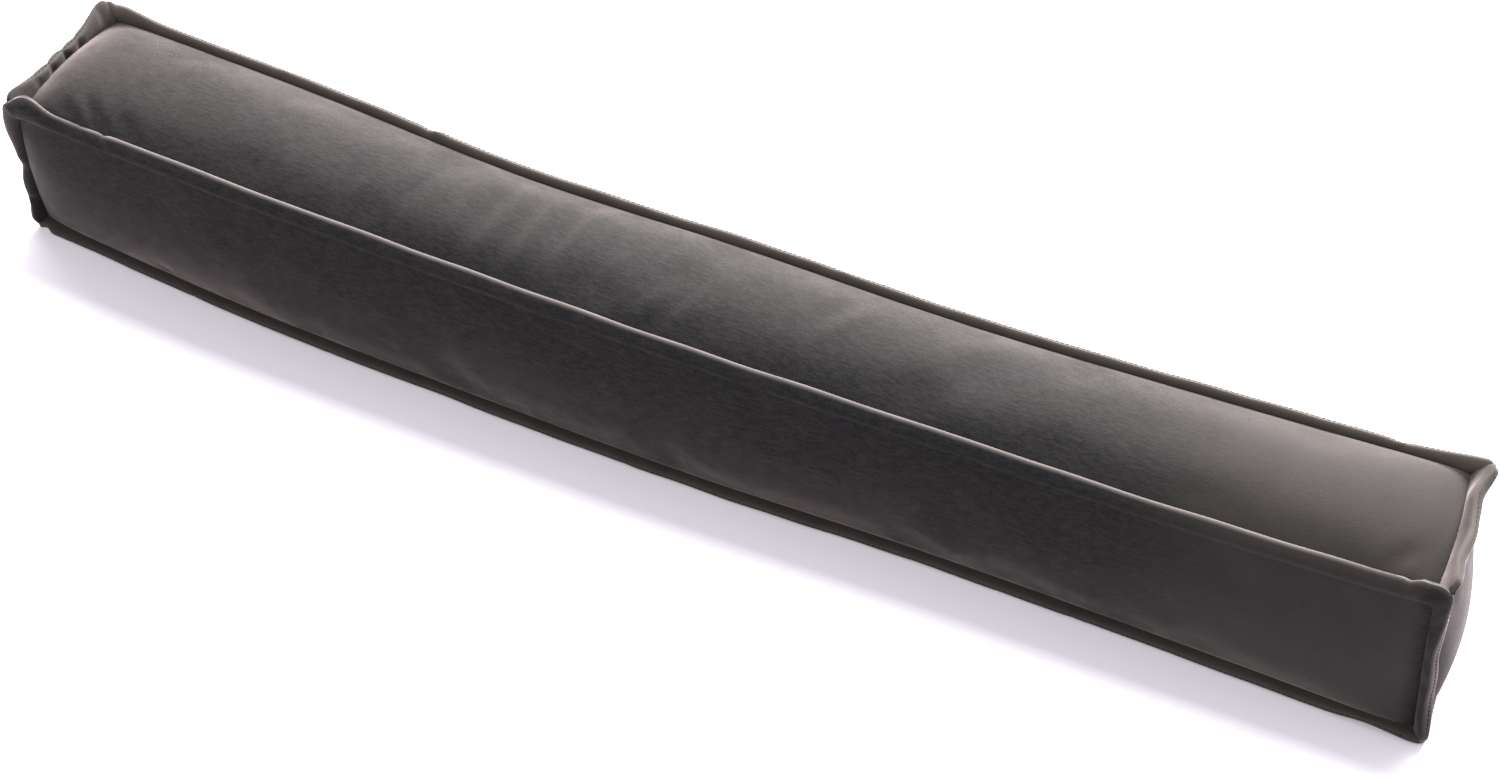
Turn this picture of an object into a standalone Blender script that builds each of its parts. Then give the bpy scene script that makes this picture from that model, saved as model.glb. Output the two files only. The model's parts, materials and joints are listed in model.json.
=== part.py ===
"""Draught excluder: a long box-shaped bolster of six velvet panels, filled, that lies on the floor.

The panels' margins stand out past the stitch lines as a puffed flange along all twelve edges. The filled
body is one solid, and each flange is a strip of its own with trimmed ends. Units are metres, +Z is up, the
length runs along X, and the front, which bows outwards, faces -Y. The origin is the middle of the
bounding box's floor.
"""
import bmesh
import bpy
import numpy as np

# Driving sizes
LENGTH = 0.900             # over the corner tips
FLANGE_WIDTH = 0.0105      # from a stitch line to the rim
FLANGE_THICKNESS = 0.0042
TIP_OVERHANG = 0.0080      # of the corner tips past the stitch lines of the ends
STITCH_HEIGHT = 0.0030     # lower stitch lines above the floor
TOP_CROWN = 0.011          # how far each filled panel swells past its stitch lines
FRONT_CROWN = 0.008
BACK_CROWN = 0.009
END_CROWN = 0.010
END_BELLY = 0.5            # share by which an end swells more at the foot than at half height
CROWN_POWER = 2.4          # higher is fuller at the edges and flatter in the middle
END_FALL = 0.018           # over this length the long panels' crowns fade at the ends
FOOT_MARGIN = 0.010        # the underside lies flat from this far inside its stitch lines
GAP = 0.0004               # between a strip and the body that it is sewn to
END_TRIM = 0.0026          # strips stop this far short of the line where three of them meet
FLOOR_TRIM = 0.0054        # upright strips stop this far above their lower stitch corner
HALF_LENGTH = LENGTH / 2 - TIP_OVERHANG   # from the middle to the stitch line of an end
MIDDLE = 0.0018            # the middle of the stitch lines, which evens out the two ends' tips and crowns

# Mesh steps, and the angle in degrees from which an edge stays sharp
BODY_STEPS = (44, 8, 8)    # along the length, the depth and the height
BODY_CROWDING = (0.55, 0.3, 0.3)
LONG_STRIP_STEPS = 44
SHORT_STRIP_STEPS = 11
STRIP_CROWDING = 0.45
SHARP_ANGLE = 50
SLOPE_STEP = 0.01          # share of the half length over which the bow's slope is measured

# The body's section along its length. share: place from the left end (-1) to the right end (1); bow: the
# centre line's offset; overhang: how far the upper stitch lines stand forward of the lower ones; height:
# of the upper stitch lines; depth: between the front and back stitch lines; skew: how far the back stitch
# lines are drawn along the length.
COLUMNS = ("share", "bow", "overhang", "height", "depth", "skew")
SECTIONS = (
    (-1.000, 0.0062, 0.0105, 0.1010, 0.0955, 0.0020),
    (-0.667, -0.0033, 0.0065, 0.1040, 0.0960, 0.0000),
    (-0.333, -0.0083, 0.0050, 0.1040, 0.0890, 0.0000),
    (0.000, -0.0058, 0.0040, 0.1035, 0.0915, 0.0000),
    (0.333, -0.0003, 0.0045, 0.1020, 0.0885, 0.0000),
    (0.667, 0.0047, 0.0025, 0.1030, 0.0930, 0.0000),
    (1.000, 0.0062, -0.0020, 0.1080, 0.0940, -0.0090),
)
SECTION = {name: np.array([row[i] for row in SECTIONS]) for i, name in enumerate(COLUMNS)}

# From each stitch corner, named by its length, depth and height signs, to the tip of its three flanges
CORNER_TIPS = {
    (-1, -1, 1): (-0.0090, 0.0010, 0.0090),
    (-1, 1, 1): (-0.0090, 0.0050, 0.0080),
    (-1, -1, -1): (-0.0060, -0.0100, -0.0010),
    (-1, 1, -1): (-0.0080, 0.0080, 0.0),
    (1, -1, 1): (0.0080, 0.0040, 0.0120),
    (1, 1, 1): (0.0050, 0.0060, 0.0080),
    (1, -1, -1): (0.0080, -0.0080, 0.0),
    (1, 1, -1): (0.0050, 0.0080, 0.0),
}
# Where the twelve flanges run and how they lie. start, end: stitch corners as length, depth and height
# signs; root: the way a strip leaves its stitch line; rim: the way to its rim; wave: how far the rim
# wanders to and fro, in metres; waves: how many times it does so along the edge.
FLANGES = (
    # name, start, end, root, rim, wave, waves
    ("front_top", (-1, -1, 1), (1, -1, 1), (0.0, -0.5, 0.9), (0.0, 0.60, 0.80), 0.0, 0.0),
    ("back_top", (-1, 1, 1), (1, 1, 1), (0.0, 0.5, 0.9), (0.0, 0.08, 1.00), 0.0, 0.0),
    ("front_bottom", (-1, -1, -1), (1, -1, -1), (0.0, -1.0, 0.0), (0.0, -1.0, 0.06), 0.0, 0.0),
    ("back_bottom", (-1, 1, -1), (1, 1, -1), (0.0, 1.0, 0.0), (0.0, 1.0, 0.0), 0.0, 0.0),
    ("left_top", (-1, -1, 1), (-1, 1, 1), (-0.6, 0.0, 0.8), (-0.45, 0.0, 0.90), 0.0010, 1.5),
    ("right_top", (1, -1, 1), (1, 1, 1), (0.6, 0.0, 0.8), (0.70, 0.0, 0.70), 0.0020, 1.5),
    ("left_bottom", (-1, -1, -1), (-1, 1, -1), (-1.0, 0.0, 0.0), (-1.0, 0.0, 0.0), 0.0, 0.0),
    ("right_bottom", (1, -1, -1), (1, 1, -1), (1.0, 0.0, 0.0), (1.0, 0.0, 0.0), 0.0, 0.0),
    ("left_front", (-1, -1, -1), (-1, -1, 1), (-0.7, -0.7, 0.0), (-0.95, 0.10, 0.0), 0.0010, 1.0),
    ("left_back", (-1, 1, -1), (-1, 1, 1), (-0.7, 0.7, 0.0), (-0.70, 0.70, 0.0), 0.0010, 1.0),
    ("right_front", (1, -1, -1), (1, -1, 1), (0.7, -0.7, 0.0), (0.95, -0.25, 0.0), 0.0015, 1.5),
    ("right_back", (1, 1, -1), (1, 1, 1), (0.7, 0.7, 0.0), (0.70, 0.70, 0.0), 0.0010, 1.0),
)
# A strip's section: share of the way from stitch line to rim, share of the full thickness
STRIP_SECTION = ((0.00, 0.25), (0.22, 0.62), (0.60, 1.00), (0.88, 0.74), (1.00, 0.28))
ROOT_SHARE = 0.35          # the strip follows its root direction over this share of its width
EAR_FADE = 0.020           # over this length a strip turns from the corner tip's direction to its own
TIP_THINNING = 0.35        # share by which a strip is thinner at a corner tip

# Velvet as seen: colour, roughness, metallic
PANEL_COLOUR = (0.075, 0.072, 0.072)
FLANGE_COLOUR = (0.055, 0.050, 0.047)
VELVET_ROUGHNESS = 0.9
METALLIC = 0.0

UP = np.array([0.0, 0.0, 1.0])


def unit(vector):
    """The same direction with length 1."""
    vector = np.asarray(vector, dtype=float)
    return vector / np.linalg.norm(vector)


def spread(count, crowding):
    """Places from -1 to 1, crowded towards both ends."""
    even = np.linspace(-1.0, 1.0, count + 1)
    return (1.0 - crowding) * even + crowding * np.sin(even * np.pi / 2)


def column(name, share):
    """A column of SECTIONS at a place along the length, read from a smooth curve through its rows."""
    places, values = SECTION["share"], SECTION[name]
    slopes = np.gradient(values, places)
    row = int(np.clip(np.searchsorted(places, share) - 1, 0, len(places) - 2))
    span = places[row + 1] - places[row]
    t = (share - places[row]) / span
    start = (2 * t**3 - 3 * t**2 + 1) * values[row] + (t**3 - 2 * t**2 + t) * span * slopes[row]
    end = (3 * t**2 - 2 * t**3) * values[row + 1] + (t**3 - t**2) * span * slopes[row + 1]
    return start + end


def line_frame(share):
    """The centre line's point on the floor, its direction, and the direction square to it."""
    rise = column("bow", share + SLOPE_STEP) - column("bow", share - SLOPE_STEP)
    slope = rise / (2 * SLOPE_STEP * HALF_LENGTH)
    centre = np.array([MIDDLE + share * HALF_LENGTH, column("bow", share), 0.0])
    return centre, unit((1.0, slope, 0.0)), unit((-slope, 1.0, 0.0))


def box_point(share, across, up):
    """A point of the box of stitch lines. across and up run from -1, front or foot, to 1, back or top."""
    centre, along, side = line_frame(share)
    lift = (up + 1) / 2
    height = STITCH_HEIGHT + lift * (column("height", share) - STITCH_HEIGHT)
    offset = across * column("depth", share) / 2 - lift * column("overhang", share)
    drawn = (across + 1) / 2 * column("skew", share)
    return centre + drawn * along + offset * side + height * UP


def dome(place):
    """1 in the middle of a panel and 0 on its stitch lines."""
    return 1.0 - abs(place) ** CROWN_POWER


def body_point(share, across, up):
    """A point of the filled body: the box's point, moved out by the crown of the panel that it is on."""
    point = box_point(share, across, up)
    _, along, side = line_frame(share)
    end_distance = (1.0 - abs(share)) * HALF_LENGTH
    full = 1.0 - np.exp(-end_distance / END_FALL)
    if abs(share) == 1.0:
        belly = 1.0 - END_BELLY * up
        point += share * END_CROWN * belly * dome(across) * dome(up) * along
    if across == -1.0:
        point -= FRONT_CROWN * dome(up) * full * side
    if across == 1.0:
        point += BACK_CROWN * dome(up) * full * side
    if up == 1.0:
        point += TOP_CROWN * dome(across) * full * UP
    if up == -1.0:
        edge_distance = min(end_distance, (1.0 - abs(across)) * column("depth", share) / 2)
        point[2] = STITCH_HEIGHT * max(0.0, 1.0 - edge_distance / FOOT_MARGIN)
    return point


def turned(vector, share):
    """A vector given along the length, the depth and the height, turned with the centre line."""
    _, along, side = line_frame(share)
    return vector[0] * along + vector[1] * side + vector[2] * UP


def strip_line(flange, place):
    """At a place from -1 to 1 along a strip: its point on the stitch line, root reach, rim reach, fullness."""
    _, start, end, root, rim, wave, waves = flange
    start_tip, end_tip = np.array(CORNER_TIPS[start]), np.array(CORNER_TIPS[end])
    start, end = np.array(start, dtype=float), np.array(end, dtype=float)
    corner_to_corner = np.linalg.norm(box_point(*end) - box_point(*start))
    floor_trim = FLOOR_TRIM if start[2] != end[2] else END_TRIM
    way = np.interp(place, (-1, 1), (floor_trim / corner_to_corner, 1 - END_TRIM / corner_to_corner))
    at = start + way * (end - start)
    near_start = np.exp(-((way * corner_to_corner / EAR_FADE) ** 2))
    near_end = np.exp(-(((1 - way) * corner_to_corner / EAR_FADE) ** 2))
    own = 1.0 - near_start - near_end
    wander = wave * np.sin(2 * np.pi * waves * way) * np.cross(unit(end - start), unit(rim))
    own_reach = FLANGE_WIDTH * unit(rim) + wander
    tip = near_start * start_tip + near_end * end_tip
    root_reach = ROOT_SHARE * (own * FLANGE_WIDTH * unit(root) + tip)
    rim_reach = own * own_reach + tip
    fullness = 1.0 - TIP_THINNING * (near_start + near_end)
    return box_point(*at), turned(root_reach, at[0]), turned(rim_reach, at[0]), fullness


def strip_rings(flange, steps):
    """A closed ring of points round the strip's section at each step along it."""
    places = spread(steps, STRIP_CROWDING)
    lines = [strip_line(flange, place) for place in places]
    rings = []
    for i, (base, root, rim, fullness) in enumerate(lines):
        ahead, behind = lines[min(i + 1, steps)][0], lines[max(i - 1, 0)][0]
        edge = unit(ahead - behind)
        foot = base + GAP * unit(root)
        upper, lower = [], []
        for way, share in STRIP_SECTION:
            point = foot + 2 * way * (1 - way) * root + way**2 * rim
            heading = (1 - 2 * way) * root * 2 + 2 * way * rim
            normal = unit(np.cross(edge, heading))
            half = FLANGE_THICKNESS / 2 * share * fullness
            upper.append(point + half * normal)
            lower.append(point - half * normal)
        ring = upper + lower[::-1]
        rings.append([np.array([x, y, max(z, 0.0)]) for x, y, z in ring])
    return rings


def velvet(name, colour):
    """A Principled material of one colour."""
    material = bpy.data.materials.new(name)
    material.use_nodes = True
    shader = material.node_tree.nodes["Principled BSDF"]
    shader.inputs["Base Color"].default_value = (*colour, 1.0)
    shader.inputs["Roughness"].default_value = VELVET_ROUGHNESS
    shader.inputs["Metallic"].default_value = METALLIC
    return material


def add_object(name, mesh, colour):
    """Closes a bmesh's faces outwards and puts it in the scene as a named object."""
    bmesh.ops.recalc_face_normals(mesh, faces=mesh.faces)
    data = bpy.data.meshes.new(name)
    mesh.to_mesh(data)
    mesh.free()
    data.shade_smooth()
    data.set_sharp_from_angle(angle=np.radians(SHARP_ANGLE))
    data.materials.append(velvet(name + "_velvet", colour))
    piece = bpy.data.objects.new(name, data)
    bpy.context.collection.objects.link(piece)
    return piece


def add_body():
    """The filled body: a lattice of quads over the box's six sides, with shared edges."""
    places = [spread(count, crowding) for count, crowding in zip(BODY_STEPS, BODY_CROWDING)]
    mesh = bmesh.new()
    vertices = {}

    def vertex(key):
        if key not in vertices:
            spot = [float(row[i]) for row, i in zip(places, key)]
            vertices[key] = mesh.verts.new(body_point(*spot))
        return vertices[key]

    for axis in range(3):
        first, second = (axis + 1) % 3, (axis + 2) % 3
        for layer in (0, BODY_STEPS[axis]):
            for i in range(BODY_STEPS[first]):
                for j in range(BODY_STEPS[second]):
                    corners = []
                    for di, dj in ((0, 0), (1, 0), (1, 1), (0, 1)):
                        key = [0, 0, 0]
                        key[axis], key[first], key[second] = layer, i + di, j + dj
                        corners.append(vertex(tuple(key)))
                    mesh.faces.new(corners if layer else corners[::-1])
    return add_object("filled_body", mesh, PANEL_COLOUR)


def add_flange(flange):
    """One edge's flange: a puffed strip from its stitch line to its rim, with closed ends."""
    name, start, end = flange[:3]
    steps = LONG_STRIP_STEPS if start[0] != end[0] else SHORT_STRIP_STEPS
    mesh = bmesh.new()
    rings = [[mesh.verts.new(point) for point in ring] for ring in strip_rings(flange, steps)]
    count = len(rings[0])
    for ring, following in zip(rings, rings[1:]):
        for i in range(count):
            j = (i + 1) % count
            mesh.faces.new((ring[i], ring[j], following[j], following[i]))
    for ring in (rings[0], rings[-1]):
        for i in range(count // 2 - 1):
            mesh.faces.new((ring[i], ring[i + 1], ring[count - 2 - i], ring[count - 1 - i]))
    return add_object("flange_" + name, mesh, FLANGE_COLOUR)


def centre_on_floor(pieces):
    """Moves every mesh so that the origin is the middle of the whole part's floor."""
    corners = np.array([vertex.co for piece in pieces for vertex in piece.data.vertices])
    middle = (corners.min(axis=0) + corners.max(axis=0)) / 2
    for piece in pieces:
        for vertex in piece.data.vertices:
            vertex.co.x -= middle[0]
            vertex.co.y -= middle[1]


for old in list(bpy.data.objects):
    bpy.data.objects.remove(old)
parts = [add_body()] + [add_flange(flange) for flange in FLANGES]
centre_on_floor(parts)
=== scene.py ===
# %% [markdown]
# # A velvet draught excluder
# The real object is a bolster about 90 cm long that lies along the foot of a door and stops the draught.
# Six panels of dark grey velvet make a long box. Their margins stand out past the stitching as a puffed
# flange along all twelve edges, and the box is filled until its panels swell. This lesson dresses the
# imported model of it, which comes first and stays as it is, under everything that is made below.

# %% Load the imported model
import json

import bpy
import numpy as np
from mathutils import Matrix, Vector

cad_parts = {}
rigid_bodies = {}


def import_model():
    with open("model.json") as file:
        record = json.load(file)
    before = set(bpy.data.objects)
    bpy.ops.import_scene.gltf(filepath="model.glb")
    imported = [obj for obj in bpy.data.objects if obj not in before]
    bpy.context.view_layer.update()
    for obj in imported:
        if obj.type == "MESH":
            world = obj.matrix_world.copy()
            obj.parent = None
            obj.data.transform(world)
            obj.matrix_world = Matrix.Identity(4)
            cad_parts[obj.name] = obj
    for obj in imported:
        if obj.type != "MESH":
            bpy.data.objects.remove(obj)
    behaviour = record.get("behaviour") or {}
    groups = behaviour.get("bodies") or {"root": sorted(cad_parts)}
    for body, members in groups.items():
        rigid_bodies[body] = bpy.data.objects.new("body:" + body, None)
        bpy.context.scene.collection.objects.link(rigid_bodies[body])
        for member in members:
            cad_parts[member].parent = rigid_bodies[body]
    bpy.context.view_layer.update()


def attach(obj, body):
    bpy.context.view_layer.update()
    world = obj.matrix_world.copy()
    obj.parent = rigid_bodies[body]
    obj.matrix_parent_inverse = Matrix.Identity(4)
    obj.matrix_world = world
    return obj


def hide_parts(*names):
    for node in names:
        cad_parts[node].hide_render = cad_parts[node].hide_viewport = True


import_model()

# %% [markdown]
# ## The pattern that everything is cut to
# Every piece here follows the stitch lines, so they come first. A stitch line could be drawn by hand as a
# long list of points. A short table of sections along the bolster is easier to read and to change: it
# holds the gentle bow, the lean, the height and the depth, and a smooth curve is run through its rows.

# %% The section table
LENGTH = 0.900             # over the corner tips, in metres
TIP_OVERHANG = 0.0080      # of the corner tips past the stitch lines of the ends
HALF_LENGTH = LENGTH / 2 - TIP_OVERHANG
MIDDLE = 0.0018            # the middle of the stitch lines along the length
STITCH_HEIGHT = 0.0030     # lower stitch lines above the floor
SLOPE_STEP = 0.01          # share of the half length over which the bow's slope is measured

COLUMNS = ("share", "bow", "overhang", "height", "depth", "skew")
SECTIONS = (
    (-1.000, 0.0062, 0.0105, 0.1010, 0.0955, 0.0020),
    (-0.667, -0.0033, 0.0065, 0.1040, 0.0960, 0.0000),
    (-0.333, -0.0083, 0.0050, 0.1040, 0.0890, 0.0000),
    (0.000, -0.0058, 0.0040, 0.1035, 0.0915, 0.0000),
    (0.333, -0.0003, 0.0045, 0.1020, 0.0885, 0.0000),
    (0.667, 0.0047, 0.0025, 0.1030, 0.0930, 0.0000),
    (1.000, 0.0062, -0.0020, 0.1080, 0.0940, -0.0090),
)
SECTION = {name: np.array([row[i] for row in SECTIONS]) for i, name in enumerate(COLUMNS)}


def rows(*numbers):
    """Numbers or arrays of them side by side, as rows of vectors."""
    return np.stack(np.broadcast_arrays(*numbers), axis=-1).astype(float)


def unit(vectors):
    """The same directions with length 1."""
    vectors = np.asarray(vectors, dtype=float)
    return vectors / np.linalg.norm(vectors, axis=-1, keepdims=True)


def column(name, share):
    """A column of the table at places along the length, read from a smooth curve through its rows."""
    places, values = SECTION["share"], SECTION[name]
    slopes = np.gradient(values, places)
    row = np.clip(np.searchsorted(places, share) - 1, 0, len(places) - 2)
    span = places[row + 1] - places[row]
    t = (share - places[row]) / span
    start = (2 * t**3 - 3 * t**2 + 1) * values[row] + (t**3 - 2 * t**2 + t) * span * slopes[row]
    end = (3 * t**2 - 2 * t**3) * values[row + 1] + (t**3 - t**2) * span * slopes[row + 1]
    return start + end


LEFT_TOP_SWELL = 0.006     # how far the filling pushes the left end's upper stitch line out in its middle
LEFT_FOOT_SWELL = 0.006    # and the foot of its upright stitch lines
LEFT_BELLY = 0.012
RIGHT_PULL = 0.0045        # how far the thread pulls in the right end's upper back corner
RIGHT_TOP_SWELL = 0.0025   # how far the right end's upper stitch line is pushed out in its middle
END_SHIFT_REACH = 0.045    # these shifts fade over this length


def end_shift(share, across, lift):
    """How far the ends' stitch lines are pushed or pulled along the length."""
    left = LEFT_TOP_SWELL * lift * (1 - across**2) + (1 - lift) * (LEFT_FOOT_SWELL + LEFT_BELLY * lift)
    right = RIGHT_PULL * lift * (1 + across) / 2 - RIGHT_TOP_SWELL * lift * (1 - across**2)
    left_fade = np.exp(-(1 + share) * HALF_LENGTH / END_SHIFT_REACH)
    right_fade = np.exp(-(1 - share) * HALF_LENGTH / END_SHIFT_REACH)
    return -left * left_fade - right * right_fade


def line_frame(share):
    """The centre line's points on the floor, its directions, and the directions square to it."""
    rise = column("bow", share + SLOPE_STEP) - column("bow", share - SLOPE_STEP)
    slope = rise / (2 * SLOPE_STEP * HALF_LENGTH)
    centre = rows(MIDDLE + share * HALF_LENGTH, column("bow", share), 0.0)
    return centre, unit(rows(1.0, slope, 0.0)), unit(rows(-slope, 1.0, 0.0))


def box_point(share, across, up):
    """Points of the box of stitch lines. across and up run from -1, front or foot, to 1, back or top."""
    centre, along, side = line_frame(share)
    lift = (up + 1) / 2
    height = STITCH_HEIGHT + lift * (column("height", share) - STITCH_HEIGHT)
    offset = across * column("depth", share) / 2 - lift * column("overhang", share)
    drawn = (across + 1) / 2 * column("skew", share) + end_shift(share, across, lift)
    return centre + drawn[..., None] * along + offset[..., None] * side + rows(0.0, 0.0, height)


def turned(vectors, share):
    """Vectors given along the length, the depth and the height, turned with the centre line."""
    _, along, side = line_frame(share)
    return vectors[..., :1] * along + vectors[..., 1:2] * side + vectors[..., 2:] * (0.0, 0.0, 1.0)


# %% [markdown]
# ## The filled body
# The filling pushes the six panels out between their stitch lines, so each has a crown, and the underside
# is pressed flat by the floor. The body could be a box with rounded edges, but then nothing would look
# pulled in by the thread. It is a fine lattice of quads over the box of stitch lines instead. It starts a
# little slack, and a short cloth simulation blows it up against the stitching.

# %% The body's lattice
TOP_CROWN = 0.0165         # how far each panel swells past its stitch lines
FRONT_CROWN = 0.010
BACK_CROWN = 0.009
END_CROWN = 0.010
END_BELLY = 0.5            # share by which an end swells more at the foot than at half height
CROWN_POWER = 2.0          # higher is flatter in the middle
STEEP_EDGE, SOFT_EDGE, FOOT_EDGE = 0.58, 1.10, 0.40   # lower is steeper at the stitch lines
SHOULDER_SHARE, SHOULDER_POWER = 0.33, 8   # the part of the top's crown that rises right at the stitching
END_FALL = 0.012           # over this length the long panels' crowns fade at the ends
FOOT_MARGIN = 0.010        # the underside lies flat from this far inside its stitch lines
BODY_STEPS = (190, 26, 26)
BODY_CROWDING = (0.12, 0.60, 0.55)


def spread(count, crowding):
    """Places from -1 to 1, crowded towards both ends."""
    even = np.linspace(-1.0, 1.0, count + 1)
    return (1.0 - crowding) * even + crowding * np.sin(even * np.pi / 2)


def dome(place, edge=STEEP_EDGE):
    """1 in the middle of a panel and 0 on its stitch lines."""
    return (1.0 - np.abs(place) ** CROWN_POWER) ** edge


def pillow(place):
    """The top's crown: an even arch with a steep shoulder along the stitch lines."""
    shoulder = (1.0 - np.abs(place) ** SHOULDER_POWER) ** 0.5
    return (1 - SHOULDER_SHARE) * (1.0 - place**2) + SHOULDER_SHARE * shoulder


def edge_distance(share, across):
    """How far a point of the underside or the top lies inside its stitch lines, in metres."""
    to_end = (1.0 - np.abs(share)) * HALF_LENGTH
    return np.minimum(to_end, (1.0 - np.abs(across)) * column("depth", share) / 2)


def body_point(share, across, up, fullness):
    """Points of the filled body: the box's points, moved out by a share of the crown of their panel."""
    points = box_point(share, across, up)
    _, along, side = line_frame(share)
    rising = fullness * (1.0 - np.exp(-(1.0 - np.abs(share)) * HALF_LENGTH / END_FALL))
    end = np.where(np.abs(share) == 1, share * END_CROWN * (1 - END_BELLY * up) * dome(across) * dome(up), 0)
    forward = np.where(across == -1, -FRONT_CROWN * dome(up, np.where(up > 0, SOFT_EDGE, FOOT_EDGE)), 0)
    backward = np.where(across == 1, BACK_CROWN * dome(up), 0)
    upward = np.where(up == 1, TOP_CROWN * pillow(across), 0)
    points += (fullness * end)[:, None] * along
    points += (rising * (forward + backward))[:, None] * side
    points[:, 2] += rising * upward
    sole = STITCH_HEIGHT * np.maximum(0, 1 - edge_distance(share, across) / FOOT_MARGIN)
    points[:, 2] = np.where(up == -1, sole, points[:, 2])
    return points


def box_lattice(steps):
    """Whole-number places and quads of a box's six sides, with shared edges and corners."""
    quads = []
    for axis in range(3):
        first, second = (axis + 1) % 3, (axis + 2) % 3
        i, j = np.meshgrid(np.arange(steps[first]), np.arange(steps[second]), indexing="ij")
        for layer in (0, steps[axis]):
            corners = []
            for di, dj in ((0, 0), (1, 0), (1, 1), (0, 1)):
                key = np.zeros(i.shape + (3,), dtype=int)
                key[..., axis], key[..., first], key[..., second] = layer, i + di, j + dj
                corners.append(key.reshape(-1, 3))
            quads.append(np.stack(corners if layer else corners[::-1], axis=1))
    quads = np.concatenate(quads)
    keys, faces = np.unique(quads.reshape(-1, 3), axis=0, return_inverse=True)
    return keys, faces.reshape(-1, 4)


body_keys, body_faces = box_lattice(BODY_STEPS)
lattice = [spread(count, crowding) for count, crowding in zip(BODY_STEPS, BODY_CROWDING)]
body_places = rows(*(lattice[axis][body_keys[:, axis]] for axis in range(3)))
full_points = body_point(*body_places.T, fullness=1.0)
CENTRING = np.array((-0.0001, 0.0001, 0.0))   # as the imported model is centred
print("lattice:", len(body_keys), "points,", len(body_faces), "quads; moved by", CENTRING)

# %% [markdown]
# ### Blowing it up
# The stitch lines and the pressed underside are pinned, the cloth gets pressure from inside and no weight,
# and twenty frames are enough for it to settle. How far a point may move is capped, so the body keeps the
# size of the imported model. The result is written back as plain points, so no simulation stays on the piece.

# %% The cloth simulation
START_FULLNESS = 0.92      # share of the crowns that the slack cover starts with
PRESSURE = 4.0
SIMULATION_FRAMES = 20
SWELL_CAP = 0.0018         # the furthest that a point may move
SMOOTHING_ROUNDS = 6       # the moves are evened out between neighbours, since fine wrinkles are placed one by one
CLOTH_SLACK = -0.002       # a negative shrink factor cuts the cloth that much larger than its place


def new_mesh(name, points, faces):
    """A mesh from points and faces, shaded smooth."""
    mesh = bpy.data.meshes.new(name)
    mesh.from_pydata([tuple(point) for point in points], [], [tuple(face) for face in faces])
    mesh.validate()
    mesh.shade_smooth()
    return mesh


def new_piece(name, points, faces):
    """An object in the scene made of points and faces."""
    piece = bpy.data.objects.new(name, new_mesh(name, points, faces))
    bpy.context.scene.collection.objects.link(piece)
    return piece


def points_of(mesh):
    """A mesh's points as rows."""
    flat = np.zeros(len(mesh.vertices) * 3, np.float32)
    mesh.vertices.foreach_get("co", flat)
    return flat.reshape(-1, 3).astype(float)


def blown_up(points, faces, pinned):
    """The points after a pressure simulation that holds the pinned ones."""
    cover = new_piece("slack_cover", points, faces)
    group = cover.vertex_groups.new(name="stitched")
    group.add([int(i) for i in np.flatnonzero(pinned)], 1.0, "REPLACE")
    cloth = cover.modifiers.new("cloth", "CLOTH")
    settings = cloth.settings
    settings.quality = 6
    settings.mass = 0.3
    settings.tension_stiffness = settings.compression_stiffness = 15.0
    settings.shear_stiffness = 5.0
    settings.bending_stiffness = 8.0
    settings.vertex_group_mass = group.name
    settings.shrink_min = CLOTH_SLACK
    settings.use_pressure = True
    settings.uniform_pressure_force = PRESSURE
    settings.effector_weights.gravity = 0.0
    cloth.point_cache.frame_start = 1
    cloth.point_cache.frame_end = SIMULATION_FRAMES
    for step in range(1, SIMULATION_FRAMES + 1):
        bpy.context.scene.frame_set(step)
    seen = cover.evaluated_get(bpy.context.evaluated_depsgraph_get())
    swollen = points_of(seen.data)
    bpy.data.objects.remove(cover)
    bpy.context.scene.frame_set(1)
    return swollen


def evened(moves, faces, rounds, held):
    """Moves averaged with those of neighbouring points. The held points keep their own."""
    edges = np.concatenate([faces[:, (0, 1)], faces[:, (1, 2)], faces[:, (2, 3)], faces[:, (3, 0)]])
    degree = np.bincount(edges[:, 0], minlength=len(moves))[:, None]
    for _ in range(rounds):
        total = np.stack([np.bincount(edges[:, 0], moves[edges[:, 1], axis], len(moves)) for axis in range(3)], 1)
        moves = np.where(held[:, None], moves, 0.4 * moves + 0.6 * total / degree)
    return moves


def capped(moves, cap):
    """Moves shortened softly so that none is longer than the cap."""
    lengths = np.linalg.norm(moves, axis=1, keepdims=True)
    return moves * cap * np.tanh(lengths / cap) / np.maximum(lengths, 1e-9)


on_sides = (np.abs(body_places) == 1).sum(axis=1)
pinned = (on_sides > 1) | (body_places[:, 2] == -1)
slack_points = body_point(*body_places.T, fullness=START_FULLNESS)
moved = blown_up(slack_points, body_faces, pinned) - slack_points
even_moves = evened(moved, body_faces, SMOOTHING_ROUNDS, pinned)
body_points = slack_points + capped(even_moves, SWELL_CAP)
moved_mm = np.linalg.norm(moved, axis=1) * 1000
print("blown up: moved", moved_mm.max().round(1), "mm at most,", moved_mm.mean().round(1), "mm on average")
swell_mm = (body_points - full_points) * 1000
print("against the packed body, mm:", swell_mm.min(axis=0).round(1), swell_mm.max(axis=0).round(1))
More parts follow.
